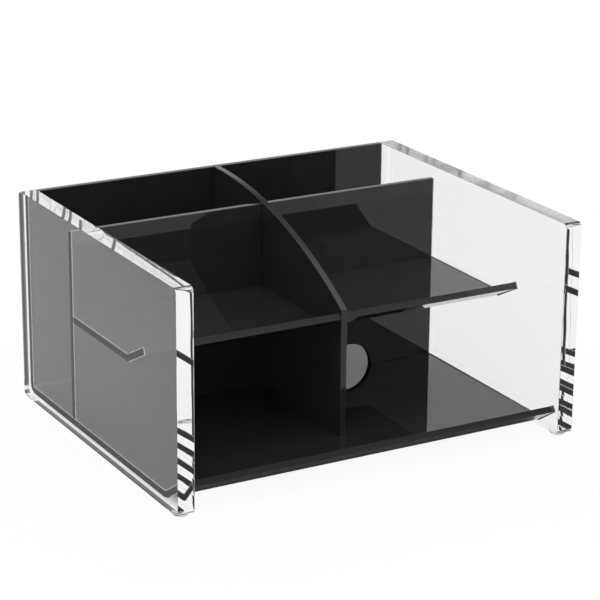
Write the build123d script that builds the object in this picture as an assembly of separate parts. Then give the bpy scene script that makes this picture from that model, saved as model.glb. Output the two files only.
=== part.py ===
from build123d import *
import math
import os

# Desk organizer: two thick clear side panels carry a set of thin black sheets.
# Frame: +X to the right, -Y to the front, +Z up. The origin is on the desk,
# under the middle of the footprint. All sizes are in millimetres.

# Side panels
overall_width = 200.0
panel_depth = 162.0
panel_height = 100.0
panel_thickness = 8.0
panel_corner_radius = 2.5
panel_edge_break = 0.2

# Bumper feet under the side panels
foot_diameter = 7.0
foot_height = 1.0
foot_edge_radius = 0.4
foot_inset = 5.3

# Black sheets
sheet_thickness = 3.0
back_bend_inner_radius = 1.5
base_lip_bend_inner_radius = 8.0
shelf_lip_bend_inner_radius = 2.0
base_clearance = 2.0
base_lip_rise = 8.6
base_lip_angle = 33.0
base_lip_setback = 2.0
back_setback = 2.0
trough_gap = 45.0
wall_top_drop = 6.0
lower_bay_height = 46.8
shelf_lip_rise = 8.0
shelf_lip_angle = 27.0
shelf_setback = 35.6
divider_rise_over_lip = 1.5
lap_clearance = 0.1

# Cord passage through the right-hand bays
notch_radius = 12.0
cord_hole_diameter = 30.0
cord_hole_side_distance = 18.0
cord_hole_height = 19.5

# Planes that the sheets share
bay_width = overall_width - 2 * panel_thickness
panel_inner_x = bay_width / 2
front_y = -panel_depth / 2
back_y = panel_depth / 2 - back_setback
panel_top_z = foot_height + panel_height
base_top_z = foot_height + base_clearance + sheet_thickness
back_inner_y = back_y - sheet_thickness
wall_back_y = back_inner_y - trough_gap
wall_front_y = wall_back_y - sheet_thickness
wall_top_z = panel_top_z - wall_top_drop
shelf_top_z = base_top_z + lower_bay_height + sheet_thickness
shelf_front_y = front_y + shelf_setback
divider_half = sheet_thickness / 2


def along_y_z(outline, thickness, first_x):
    """Panel with a Y-Z outline, reaching from first_x towards +X."""
    return Pos(first_x, 0, 0) * extrude(Plane.YZ * outline, thickness)


def lip_tip(front_edge_y, sheet_top_z, rise, angle):
    """Middle of a lip's cut end: its lower corner lies at front_edge_y."""
    half = sheet_thickness / 2
    tip_y = front_edge_y + half * math.sin(math.radians(angle))
    tip_z = sheet_top_z + rise - half * math.cos(math.radians(angle))
    return tip_y, tip_z


def lip_fold(front_edge_y, sheet_top_z, rise, angle):
    """Point where the flat sheet's middle line turns up into the lip."""
    tip_y, tip_z = lip_tip(front_edge_y, sheet_top_z, rise, angle)
    flat_z = sheet_top_z - sheet_thickness / 2
    fold_y = tip_y + (tip_z - flat_z) / math.tan(math.radians(angle))
    return fold_y, flat_z


def bent_sheet(middle_line, inner_radii, first_x, width):
    """Sheet of even thickness along a middle line, with one inner radius per bend."""
    bend_radii = [inner_radius + sheet_thickness / 2 for inner_radius in inner_radii]
    line = FilletPolyline(*middle_line, radius=bend_radii)
    profile = trace(line, line_width=sheet_thickness)
    return along_y_z(profile, width, first_x)


def make_side_panel(side):
    """Clear side, cast sheet with rounded corners and softly broken edges."""
    outline = RectangleRounded(panel_depth, panel_height, panel_corner_radius)
    panel = along_y_z(outline, panel_thickness, -panel_thickness / 2)
    faces = panel.faces().filter_by(Axis.X)
    panel = chamfer(faces.edges(), panel_edge_break)
    centre_x = side * (overall_width - panel_thickness) / 2
    return Pos(centre_x, 0, foot_height + panel_height / 2) * panel


def make_foot(side, end):
    """Round clear bumper under one end of a side panel."""
    foot = Cylinder(foot_diameter / 2, foot_height)
    lower_edge = foot.edges().group_by(Axis.Z)[0]
    foot = fillet(lower_edge, foot_edge_radius)
    centre_x = side * (overall_width - panel_thickness) / 2
    centre_y = end * (panel_depth / 2 - foot_inset)
    return Pos(centre_x, centre_y, foot_height / 2) * foot


def make_back_and_base():
    """One sheet: upright back, floor and lip, with a cord hole in the back."""
    half = sheet_thickness / 2
    lip = (front_y + base_lip_setback, base_top_z, base_lip_rise, base_lip_angle)
    middle_line = [
        (back_y - half, panel_top_z),
        (back_y - half, base_top_z - half),
        lip_fold(*lip),
        lip_tip(*lip),
    ]
    inner_radii = [back_bend_inner_radius, base_lip_bend_inner_radius]
    sheet = bent_sheet(middle_line, inner_radii, -panel_inner_x, bay_width)
    hole = Cylinder(cord_hole_diameter / 2, 2 * sheet_thickness, rotation=(90, 0, 0))
    hole_x = panel_inner_x - cord_hole_side_distance
    hole_z = base_top_z + cord_hole_height
    return sheet - Pos(hole_x, back_y - half, hole_z) * hole


def make_cross_wall():
    """Upright wall, slotted from the top for the divider, notched at the floor."""
    wall_height = wall_top_z - base_top_z
    middle_y = (wall_front_y + wall_back_y) / 2
    middle_z = base_top_z + wall_height / 2
    wall = Pos(0, middle_y, middle_z) * Box(bay_width, sheet_thickness, wall_height)
    slot_width = sheet_thickness + 2 * lap_clearance
    slot_depth = wall_height / 2 + lap_clearance
    slot = Box(slot_width, 2 * sheet_thickness, 2 * slot_depth)
    wall -= Pos(0, middle_y, wall_top_z) * slot
    right_bay_middle_x = (divider_half + panel_inner_x) / 2
    notch = Cylinder(notch_radius, 2 * sheet_thickness, rotation=(90, 0, 0))
    wall -= Pos(right_bay_middle_x, middle_y, base_top_z) * notch
    return wall


def make_center_divider():
    """Divider whose top edge falls along an arc from the back to the shelf lip."""
    front_top_z = shelf_top_z + shelf_lip_rise + divider_rise_over_lip
    run = back_inner_y - shelf_front_y
    fall = panel_top_z - front_top_z
    top_radius = (run ** 2 + fall ** 2) / (2 * fall)
    half_turn = math.asin(run / top_radius) / 2
    arc_y = back_inner_y - top_radius * math.sin(half_turn)
    arc_z = panel_top_z - top_radius * (1 - math.cos(half_turn))
    heel = back_bend_inner_radius + lap_clearance
    top_edge = ThreePointArc(
        (back_inner_y, panel_top_z), (arc_y, arc_z), (shelf_front_y, front_top_z)
    )
    lower_edge = Polyline(
        (shelf_front_y, front_top_z),
        (shelf_front_y, base_top_z),
        (back_inner_y - heel, base_top_z),
        (back_inner_y, base_top_z + heel),
        (back_inner_y, panel_top_z),
    )
    outline = make_face(top_edge.edges() + lower_edge.edges())
    divider = along_y_z(outline, sheet_thickness, -divider_half)
    lap_top_z = (base_top_z + wall_top_z) / 2
    slot_width = sheet_thickness + 2 * lap_clearance
    slot = Box(2 * sheet_thickness, slot_width, 2 * (lap_top_z - base_top_z))
    return divider - Pos(0, (wall_front_y + wall_back_y) / 2, base_top_z) * slot


def make_shelf(side):
    """Shelf between the divider and one side panel, lipped at the front."""
    lip = (shelf_front_y, shelf_top_z, shelf_lip_rise, shelf_lip_angle)
    middle_line = [
        (wall_front_y, shelf_top_z - sheet_thickness / 2),
        lip_fold(*lip),
        lip_tip(*lip),
    ]
    width = panel_inner_x - divider_half
    first_x = divider_half if side > 0 else -panel_inner_x
    return bent_sheet(middle_line, [shelf_lip_bend_inner_radius], first_x, width)


parts = {
    "back_and_base_sheet": make_back_and_base(),
    "cross_wall": make_cross_wall(),
    "center_divider": make_center_divider(),
}
for side_name, side in (("left", -1), ("right", 1)):
    parts[f"side_panel_{side_name}"] = make_side_panel(side)
    parts[f"shelf_{side_name}"] = make_shelf(side)
    for end_name, end in (("front", -1), ("back", 1)):
        parts[f"foot_{end_name}_{side_name}"] = make_foot(side, end)

os.makedirs("parts", exist_ok=True)
for name, solid in parts.items():
    solid.label = name
    export_step(solid, f"parts/{name}.step")
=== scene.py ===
import math

import bmesh
import bpy
from mathutils import Matrix, Vector


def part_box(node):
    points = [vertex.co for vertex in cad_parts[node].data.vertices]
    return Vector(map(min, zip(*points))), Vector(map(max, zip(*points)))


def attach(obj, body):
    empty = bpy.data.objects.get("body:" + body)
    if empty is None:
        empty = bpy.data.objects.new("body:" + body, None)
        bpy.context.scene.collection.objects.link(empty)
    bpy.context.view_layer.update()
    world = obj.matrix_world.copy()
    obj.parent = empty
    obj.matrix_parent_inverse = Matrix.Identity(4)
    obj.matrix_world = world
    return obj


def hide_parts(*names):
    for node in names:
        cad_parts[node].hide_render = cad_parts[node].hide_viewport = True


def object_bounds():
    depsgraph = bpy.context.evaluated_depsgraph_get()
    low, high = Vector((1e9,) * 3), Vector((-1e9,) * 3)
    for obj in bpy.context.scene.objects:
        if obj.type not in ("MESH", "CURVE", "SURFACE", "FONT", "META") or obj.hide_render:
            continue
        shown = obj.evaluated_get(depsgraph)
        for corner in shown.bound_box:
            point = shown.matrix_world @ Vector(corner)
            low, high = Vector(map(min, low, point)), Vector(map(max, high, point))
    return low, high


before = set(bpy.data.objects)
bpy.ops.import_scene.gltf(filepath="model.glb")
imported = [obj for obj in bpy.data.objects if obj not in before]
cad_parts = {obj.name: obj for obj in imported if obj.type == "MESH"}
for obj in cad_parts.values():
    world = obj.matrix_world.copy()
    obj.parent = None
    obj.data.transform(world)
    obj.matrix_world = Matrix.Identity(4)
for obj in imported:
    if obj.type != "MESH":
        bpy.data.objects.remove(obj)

cad_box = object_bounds()
MM = 0.001


# Camera at the photographer's place: in front of the left-hand corner and above it.
# It is level but for half a degree of roll, and the lens has no shift.
camera_place = Vector((-489.9, -871.2, 395.3)) * MM
camera_turn = math.radians(29.51)
camera_dip = math.radians(18.73)
camera_roll = math.radians(0.516)
lens_mm = 138.8
sensor_mm = 36
nearest_seen = 0.05
farthest_seen = 50
light_bounces = 24
gloss_bounces = 12

sight = Vector((
    math.sin(camera_turn) * math.cos(camera_dip),
    math.cos(camera_turn) * math.cos(camera_dip),
    -math.sin(camera_dip)))
level_right = Vector((math.cos(camera_turn), -math.sin(camera_turn), 0))
level_up = level_right.cross(sight)
right = math.cos(camera_roll) * level_right + math.sin(camera_roll) * level_up
up = math.cos(camera_roll) * level_up - math.sin(camera_roll) * level_right

camera_data = bpy.data.cameras.new("camera")
camera_data.sensor_width = sensor_mm
camera_data.lens = lens_mm
camera_data.clip_start = nearest_seen
camera_data.clip_end = farthest_seen
camera = bpy.data.objects.new("camera", camera_data)
bpy.context.collection.objects.link(camera)
camera.matrix_world = Matrix((
    (right.x, up.x, -sight.x, camera_place.x),
    (right.y, up.y, -sight.y, camera_place.y),
    (right.z, up.z, -sight.z, camera_place.z),
    (0, 0, 0, 1)))
bpy.context.scene.camera = camera
bpy.context.scene.view_settings.view_transform = "Standard"
bpy.context.scene.cycles.max_bounces = light_bounces
bpy.context.scene.cycles.glossy_bounces = gloss_bounces
bpy.context.scene.cycles.transmission_bounces = light_bounces


# White studio: a matt floor with painted shade in front, a pale surround and one wide softbox overhead.
# The floor glows white with painted light, also under the clear sides, and keeps the object's shadow
# faintly.
# In gloss the surround is pale at the horizon, dim higher up and bright overhead.
floor_radius = 6.0
floor_segments = 96
floor_paint = 0.86
# Painted shade: the floor's paint and its glow seen through glass grow darker towards the front.
floor_painted_shade_front = 0.72
glow_painted_shade_front = 0.80
front_from = -200 * MM
front_to = -60 * MM
surround_white = 1.0
surround_fill = 0.55
surround_in_gloss = (
    (0.0, 0.84), (0.37, 0.84), (0.50, 0.42), (0.62, 0.16), (0.78, 0.45), (0.90, 1.4))
softbox_size = 1.6
softbox_place = Vector((-0.25, -0.35, 1.5))
softbox_watts = 12.0
shadow_reach = 150 * MM
whiteness_beside = ((0.0, 0.0), (0.05, 0.86), (0.20, 0.94), (1.0, 1.0))
# Painted light: how far inside the object's outline the floor's white glow begins, to the eye and through
# glass.
painted_glow_inside = 48 * MM
painted_glow_under_sides = 16 * MM


def by_ray(tree, lighting, gloss, glass, eye):
    """lighting, gloss, glass or eye, whichever the ray is. Each is a number or a socket."""
    path = tree.nodes.new("ShaderNodeLightPath")
    value = lighting
    for ray, choice in (("Is Glossy Ray", gloss), ("Is Transmission Ray", glass), ("Is Camera Ray", eye)):
        mix = tree.nodes.new("ShaderNodeMix")
        tree.links.new(path.outputs[ray], mix.inputs["Factor"])
        for side, given in (("A", value), ("B", choice)):
            if isinstance(given, float):
                mix.inputs[side].default_value = given
            else:
                tree.links.new(given, mix.inputs[side])
        value = mix.outputs["Result"]
    return value


def stepped(tree, value, stops):
    """Curve of straight runs through stops, read at value between 0 and 1."""
    ramp = tree.nodes.new("ShaderNodeValToRGB")
    points = ramp.color_ramp.elements
    while len(points) < len(stops):
        points.new(1.0)
    for point, (place, level) in zip(points, stops):
        point.position = place
        point.color = (level, level, level, 1)
    tree.links.new(value, ramp.inputs["Fac"])
    return ramp.outputs["Color"]


def ranged(tree, value, low, high, to_low, to_high):
    """value between low and high, spread over to_low and to_high."""
    node = tree.nodes.new("ShaderNodeMapRange")
    node.inputs["From Min"].default_value = low
    node.inputs["From Max"].default_value = high
    node.inputs["To Min"].default_value = to_low
    node.inputs["To Max"].default_value = to_high
    tree.links.new(value, node.inputs["Value"])
    return node.outputs["Result"]


world = bpy.data.worlds.new("surround")
world.use_nodes = True
bpy.context.scene.world = world
tree = world.node_tree
background = tree.nodes["Background"]
background.inputs["Color"].default_value = (1, 1, 1, 1)
direction = tree.nodes.new("ShaderNodeTexCoord")
height = tree.nodes.new("ShaderNodeSeparateXYZ")
tree.links.new(direction.outputs["Generated"], height.inputs[0])
seen_in_gloss = stepped(tree, height.outputs["Z"], surround_in_gloss)
tree.links.new(
    by_ray(tree, surround_fill, seen_in_gloss, surround_white, surround_white),
    background.inputs["Strength"])

floor_mesh = bpy.data.meshes.new("floor")
floor_bm = bmesh.new()
bmesh.ops.create_circle(floor_bm, cap_ends=True, segments=floor_segments, radius=floor_radius)
floor_bm.to_mesh(floor_mesh)
floor_bm.free()
floor = bpy.data.objects.new("floor", floor_mesh)
bpy.context.collection.objects.link(floor)

floor_white = bpy.data.materials.new("matt_white_floor")
floor_white.use_nodes = True
tree = floor_white.node_tree
tree.nodes.clear()


def whiteness_outside(half_length, half_depth):
    """Share of plain white by distance outside a rectangle about the object's middle."""
    place = tree.nodes.new("ShaderNodeTexCoord")
    value = place.outputs["Object"]
    for operation, operand in (
            ("ABSOLUTE", None), ("SUBTRACT", (half_length, half_depth, 0)),
            ("MAXIMUM", (0, 0, 0)), ("LENGTH", None)):
        step = tree.nodes.new("ShaderNodeVectorMath")
        step.operation = operation
        tree.links.new(value, step.inputs[0])
        if operand is not None:
            step.inputs[1].default_value = operand
        value = step.outputs["Value" if operation == "LENGTH" else "Vector"]
    share = tree.nodes.new("ShaderNodeMath")
    share.operation = "DIVIDE"
    share.use_clamp = True
    share.inputs[1].default_value = shadow_reach
    tree.links.new(value, share.inputs[0])
    return stepped(tree, share.outputs[0], whiteness_beside)


half_length = cad_box[1][0]
half_depth = cad_box[1][1]
floor_matt = tree.nodes.new("ShaderNodeBsdfDiffuse")
place = tree.nodes.new("ShaderNodeTexCoord")
place_xyz = tree.nodes.new("ShaderNodeSeparateXYZ")
tree.links.new(place.outputs["Object"], place_xyz.inputs[0])
# Painted shade: the floor's paint is greyer towards the front.
tree.links.new(
    ranged(tree, place_xyz.outputs["Y"], front_from, front_to, floor_painted_shade_front, floor_paint),
    floor_matt.inputs["Color"])
floor_glow = tree.nodes.new("ShaderNodeEmission")
# Painted shade: seen through glass, the floor's glow is dimmer towards the front.
seen_through_glass = ranged(
    tree, place_xyz.outputs["Y"], front_from, front_to, glow_painted_shade_front, surround_white)
tree.links.new(
    by_ray(tree, surround_white, surround_white, seen_through_glass, surround_white),
    floor_glow.inputs["Strength"])
floor_mix = tree.nodes.new("ShaderNodeMixShader")
floor_out = tree.nodes.new("ShaderNodeOutputMaterial")
# Painted light: through glass the floor glows white from 16 mm inside the object's outline, under the
# clear sides, and to the eye from 48 mm inside, over the shade the object casts there.
tree.links.new(
    by_ray(
        tree, 0.0, 0.0,
        whiteness_outside(half_length - painted_glow_under_sides, half_depth - painted_glow_under_sides),
        whiteness_outside(half_length - painted_glow_inside, half_depth - painted_glow_inside)),
    floor_mix.inputs["Fac"])
tree.links.new(floor_matt.outputs[0], floor_mix.inputs[1])
tree.links.new(floor_glow.outputs[0], floor_mix.inputs[2])
tree.links.new(floor_mix.outputs[0], floor_out.inputs["Surface"])
floor_mesh.materials.append(floor_white)

softbox_data = bpy.data.lights.new("softbox", "AREA")
softbox_data.shape = "SQUARE"
softbox_data.size = softbox_size
softbox_data.energy = softbox_watts
softbox = bpy.data.objects.new("softbox", softbox_data)
bpy.context.collection.objects.link(softbox)
softbox.location = softbox_place
softbox.rotation_euler = (-softbox_place).to_track_quat("-Z", "Y").to_euler()
softbox.visible_glossy = False
softbox.visible_transmission = False


# Side panels: 8 mm clear cast acrylic with small round corners, polished all round, the
# right one hazier on top. Black sheets are bonded to their inner faces, so each inner
# face lies a hair over the sheet ends and no air is between.
corner_radius = 2.5 * MM
corner_steps = 8
edge_break = 0.15 * MM
edge_steps = 3
bond_depth = 0.02 * MM
crease = math.radians(50)
square_turn = math.radians(60)
flat_on = 0.9
whole_weight = 100
plastic_index = 1.49
haze_waves = 60
haze_range = (0.45, 0.75)
clear_cast = ((0.985, 0.99, 0.988), (1, 1, 1))
edge_cast = ((0.93, 0.94, 0.935), (0.97, 0.975, 0.97))
polish_wave = 60
polish_depth = 0.08 * MM
crown_bend = 1.5
panel_middle = (cad_box[1][0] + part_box("side_panel_right")[0].x) / 2
buffed_haze = 0.002
sanded_haze = 0.32


def finished_piece(name, bm, material_slot, materials, *nodes):
    """Object from bm, smooth but flat on its broad faces, riding on the body and standing for nodes."""
    bmesh.ops.recalc_face_normals(bm, faces=bm.faces)
    mesh = bpy.data.meshes.new(name)
    bm.to_mesh(mesh)
    bm.free()
    for material in materials:
        mesh.materials.append(material)
    mesh.shade_smooth()
    mesh.set_sharp_from_angle(angle=crease)
    piece = bpy.data.objects.new(name, mesh)
    bpy.context.collection.objects.link(piece)
    even = piece.modifiers.new("even_shading", "WEIGHTED_NORMAL")
    even.mode = "FACE_AREA"
    even.weight = whole_weight
    even.keep_sharp = True
    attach(piece, "root")
    if nodes:
        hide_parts(*nodes)
    return piece


def noise(tree, scale, detail, stretch=(1, 1, 1)):
    """Noise in object coordinates, scale in cells per metre."""
    place = tree.nodes.new("ShaderNodeTexCoord")
    mapping = tree.nodes.new("ShaderNodeMapping")
    mapping.inputs["Scale"].default_value = stretch
    texture = tree.nodes.new("ShaderNodeTexNoise")
    texture.inputs["Scale"].default_value = scale
    texture.inputs["Detail"].default_value = detail
    tree.links.new(place.outputs["Object"], mapping.inputs["Vector"])
    tree.links.new(mapping.outputs["Vector"], texture.inputs["Vector"])
    return texture.outputs["Fac"]


def blended(tree, value, first, second):
    """Colour from first to second as value goes from 0 to 1."""
    node = tree.nodes.new("ShaderNodeMix")
    node.data_type = "RGBA"
    node.inputs["A"].default_value = (*first, 1)
    node.inputs["B"].default_value = (*second, 1)
    tree.links.new(value, node.inputs["Factor"])
    return node.outputs["Result"]


def acrylic_clear(name, cast, polished, most_haze):
    """Clear acrylic tinted by cast, no rougher than most_haze. A polished edge is crowned and waved."""
    material = bpy.data.materials.new(name)
    material.use_nodes = True
    tree = material.node_tree
    shader = tree.nodes["Principled BSDF"]
    shader.inputs["Transmission Weight"].default_value = 1.0
    shader.inputs["IOR"].default_value = plastic_index
    haze = noise(tree, haze_waves, 3)
    tree.links.new(blended(tree, haze, *cast), shader.inputs["Base Color"])
    tree.links.new(ranged(tree, haze, *haze_range, most_haze / 2, most_haze), shader.inputs["Roughness"])
    if polished:
        place = tree.nodes.new("ShaderNodeTexCoord")
        along = tree.nodes.new("ShaderNodeSeparateXYZ")
        tree.links.new(place.outputs["Object"], along.inputs[0])
        height = along.outputs["X"]
        for operation, operand in (
                ("ABSOLUTE", 0.0), ("SUBTRACT", panel_middle), ("POWER", 2.0), ("MULTIPLY", -crown_bend)):
            step = tree.nodes.new("ShaderNodeMath")
            step.operation = operation
            step.inputs[1].default_value = operand
            tree.links.new(height, step.inputs[0])
            height = step.outputs[0]
        waved = tree.nodes.new("ShaderNodeMath")
        waved.operation = "MULTIPLY_ADD"
        waved.inputs[1].default_value = polish_depth
        tree.links.new(noise(tree, polish_wave, 1), waved.inputs[0])
        tree.links.new(height, waved.inputs[2])
        waves = tree.nodes.new("ShaderNodeBump")
        waves.inputs["Distance"].default_value = 1.0
        tree.links.new(waved.outputs[0], waves.inputs["Height"])
        tree.links.new(waves.outputs["Normal"], shader.inputs["Normal"])
    return material


clear_acrylic = acrylic_clear("clear_acrylic", clear_cast, False, buffed_haze)
polished_edge = acrylic_clear("polished_edge", edge_cast, True, buffed_haze)
hazy_edge = acrylic_clear("hazy_edge", edge_cast, True, sanded_haze)

for side in ("left", "right"):
    node = f"side_panel_{side}"
    low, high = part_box(node)
    if side == "left":
        high = high + Vector((bond_depth, 0, 0))
    else:
        low = low - Vector((bond_depth, 0, 0))
    bm = bmesh.new()
    bmesh.ops.create_cube(bm, size=1)
    bmesh.ops.scale(bm, vec=high - low, verts=bm.verts)
    bmesh.ops.translate(bm, vec=(low + high) / 2, verts=bm.verts)
    across = [e for e in bm.edges if abs(e.verts[0].co.x - e.verts[1].co.x) > edge_break]
    bmesh.ops.bevel(
        bm, geom=across, offset=corner_radius, segments=corner_steps, affect="EDGES",
        profile=0.5, material=-1)
    outline = [e for e in bm.edges if abs(e.calc_face_angle()) > square_turn]
    bmesh.ops.bevel(
        bm, geom=outline, offset=edge_break, segments=edge_steps, affect="EDGES",
        profile=0.5, material=-1)
    for face in bm.faces:
        if abs(face.normal.x) < flat_on:
            face.material_index = 1
        if side == "right" and face.normal.z > flat_on:
            face.material_index = 2
    finished_piece(
        f"clear_side_{side}", bm, "clear_acrylic", [clear_acrylic, polished_edge, hazy_edge], node)


# Bumper feet: four clear self-adhesive polyurethane discs with a rounded rim,
# pressed on under the ends of the side panels.
foot_steps = 48
foot_rim_steps = 4
foot_rim = 0.4 * MM
clouding_waves = 900
clouding_range = (0.4, 0.7)
clouding_roughness = (0.08, 0.2)
bumper_cast = ((0.93, 0.94, 0.93), (0.99, 0.99, 0.99))

clear_bumper = bpy.data.materials.new("clear_bumper")
clear_bumper.use_nodes = True
tree = clear_bumper.node_tree
shader = tree.nodes["Principled BSDF"]
shader.inputs["Transmission Weight"].default_value = 1.0
shader.inputs["IOR"].default_value = plastic_index
clouding = noise(tree, clouding_waves, 3)
tree.links.new(blended(tree, clouding, *bumper_cast), shader.inputs["Base Color"])
tree.links.new(ranged(tree, clouding, *clouding_range, *clouding_roughness), shader.inputs["Roughness"])

for end in ("front", "back"):
    for side in ("left", "right"):
        node = f"foot_{end}_{side}"
        low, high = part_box(node)
        high = high + Vector((0, 0, bond_depth))
        middle = (low + high) / 2
        bm = bmesh.new()
        bmesh.ops.create_cone(
            bm, cap_ends=True, segments=foot_steps, radius1=(high.x - low.x) / 2,
            radius2=(high.x - low.x) / 2, depth=high.z - low.z)
        bmesh.ops.translate(bm, vec=middle, verts=bm.verts)
        rim = [e for e in bm.edges if all(v.co.z < middle.z for v in e.verts)]
        bmesh.ops.bevel(
            bm, geom=rim, offset=foot_rim, segments=foot_rim_steps, affect="EDGES",
            profile=0.5, material=-1)
        finished_piece(f"bumper_{end}_{side}", bm, "clear_bumper", [clear_bumper], node)


# Black sheets: 3 mm black acrylic with polished faces and edges. Each is cut to its
# outline, bent hot over a rod where it turns, and has its edges broken with a scraper.
scraped_edge = 0.2 * MM
scraped_steps = 2
sharp_turn = math.radians(30)
weld_distance = 0.002 * MM
flat_turn = math.radians(0.3)
end_reach = 0.05 * MM
black_waves = 45
black_cast = ((0.0185, 0.0185, 0.0189), (0.0215, 0.0215, 0.0218))
smudge_waves = 28
smudge_stretch = (1, 1, 1.6)
smudge_range = (0.3, 0.8)
smudge_roughness = (0.0, 0.006)
bonded_roughness = 0.6


def acrylic_black(name, gloss):
    """Black acrylic. With gloss off it is an end bonded to clear acrylic, which mirrors nothing."""
    material = bpy.data.materials.new(name)
    material.use_nodes = True
    tree = material.node_tree
    shader = tree.nodes["Principled BSDF"]
    shader.inputs["IOR"].default_value = plastic_index
    depth = noise(tree, black_waves, 4)
    tree.links.new(blended(tree, depth, *black_cast), shader.inputs["Base Color"])
    if gloss:
        smudges = noise(tree, smudge_waves, 5, smudge_stretch)
        tree.links.new(
            ranged(tree, smudges, *smudge_range, *smudge_roughness), shader.inputs["Roughness"])
    else:
        shader.inputs["Specular IOR Level"].default_value = 0.0
        shader.inputs["Roughness"].default_value = bonded_roughness
    return material


black_acrylic = acrylic_black("black_acrylic", True)
bonded_end = acrylic_black("bonded_black_end", False)


def packed_shape(node):
    """Shape of node with its loose triangles merged into whole faces."""
    bm = bmesh.new()
    bm.from_mesh(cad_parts[node].data)
    bmesh.ops.remove_doubles(bm, verts=bm.verts, dist=weld_distance)
    bmesh.ops.dissolve_limit(
        bm, angle_limit=flat_turn, use_dissolve_boundaries=False, verts=bm.verts,
        edges=bm.edges)
    return bm


inner_face = {"left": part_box("side_panel_left")[1].x, "right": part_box("side_panel_right")[0].x}


def lies_at_side(edge):
    """True for an edge that lies on the inner face of a side panel."""
    return any(
        all(abs(vert.co.x - plane) < end_reach for vert in edge.verts) for plane in inner_face.values())


def black_sheet(name, node):
    """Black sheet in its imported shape, with broken edges and dull ends where it meets a side panel."""
    bm = packed_shape(node)
    sharp = [
        e for e in bm.edges
        if e.is_manifold and e.calc_face_angle() > sharp_turn and not lies_at_side(e)]
    bmesh.ops.bevel(
        bm, geom=sharp, offset=scraped_edge, segments=scraped_steps, affect="EDGES",
        profile=0.5, clamp_overlap=True, material=-1)
    for face in bm.faces:
        if abs(face.normal.x) > flat_on and all(lies_at_side(e) for e in face.edges):
            face.material_index = 1
    return finished_piece(name, bm, "black_acrylic", [black_acrylic, bonded_end], node)


black_sheet("back_and_floor", "back_and_base_sheet")
black_sheet("cross_panel", "cross_wall")
black_sheet("divider", "center_divider")
for side in ("left", "right"):
    black_sheet(f"lipped_shelf_{side}", f"shelf_{side}")


# Cement lines: solvent cement drawn in along the joints between black sheets and side
# panels, from the front and from above. It is drawn as a thin opaque bead, mottled grey to white.
bead_radius = 0.25 * MM
bead_stand_off = 0.15 * MM
bead_steps = 1
facing_share = 0.3
end_share = 0.5
mottle_waves = 700
mottle_range = (0.35, 0.65)
cement_cast = ((0.55, 0.56, 0.55), (0.90, 0.91, 0.90))
cement_range = (0.3, 0.7)
cement_roughness = (0.2, 0.5)

pale_cement = bpy.data.materials.new("pale_cement")
pale_cement.use_nodes = True
tree = pale_cement.node_tree
shader = tree.nodes["Principled BSDF"]
shader.inputs["IOR"].default_value = plastic_index
cement_mottle = noise(tree, mottle_waves, 4)
tree.links.new(
    blended(tree, ranged(tree, cement_mottle, *mottle_range, 0, 1), *cement_cast),
    shader.inputs["Base Color"])
tree.links.new(ranged(tree, cement_mottle, *cement_range, *cement_roughness), shader.inputs["Roughness"])


def joint_lines(node, side):
    """Lines beside the corners where node's front and upper faces meet a side panel."""
    plane = inner_face[side]
    inward = bead_stand_off if side == "left" else -bead_stand_off
    bm = packed_shape(node)
    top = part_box(node)[1].z
    links = {}
    shift = {}
    for edge in bm.edges:
        if not all(abs(vert.co.x - plane) < end_reach for vert in edge.verts):
            continue
        if all(vert.co.z > top - end_reach for vert in edge.verts):
            continue
        faces = [face for face in edge.link_faces if abs(face.normal.x) < end_share]
        if not faces or (faces[0].normal.z < facing_share and faces[0].normal.y > -facing_share):
            continue
        for vert in edge.verts:
            links.setdefault(vert, []).append(edge.other_vert(vert))
            shift[vert] = shift.get(vert, Vector()) + faces[0].normal
    lines = []
    while links:
        start = next((vert for vert in links if len(links[vert]) == 1), next(iter(links)))
        line = [start]
        while links.get(line[-1]):
            here = line[-1]
            following = links.pop(here)
            line.extend([vert for vert in following if vert in links][:1])
            if line[-1] is here:
                break
        lines.append([
            vert.co + shift[vert].normalized() * bead_stand_off + Vector((inward, 0, 0)) for vert in line])
    bm.free()
    return lines


for side in ("left", "right"):
    curve = bpy.data.curves.new(f"cement_{side}", "CURVE")
    curve.dimensions = "3D"
    curve.bevel_depth = bead_radius
    curve.bevel_resolution = bead_steps
    curve.use_fill_caps = True
    for node in ("back_and_base_sheet", "cross_wall", f"shelf_{side}"):
        for line in joint_lines(node, side):
            spline = curve.splines.new("POLY")
            spline.points.add(len(line) - 1)
            for point, place in zip(spline.points, line):
                point.co = (*place, 1)
    bead = bpy.data.objects.new(f"cement_{side}", curve)
    bm = bmesh.new()
    bm.from_mesh(bpy.data.meshes.new_from_object(bead))
    bpy.data.objects.remove(bead)
    finished_piece(f"cement_lines_{side}", bm, "clear_acrylic", [pale_cement])
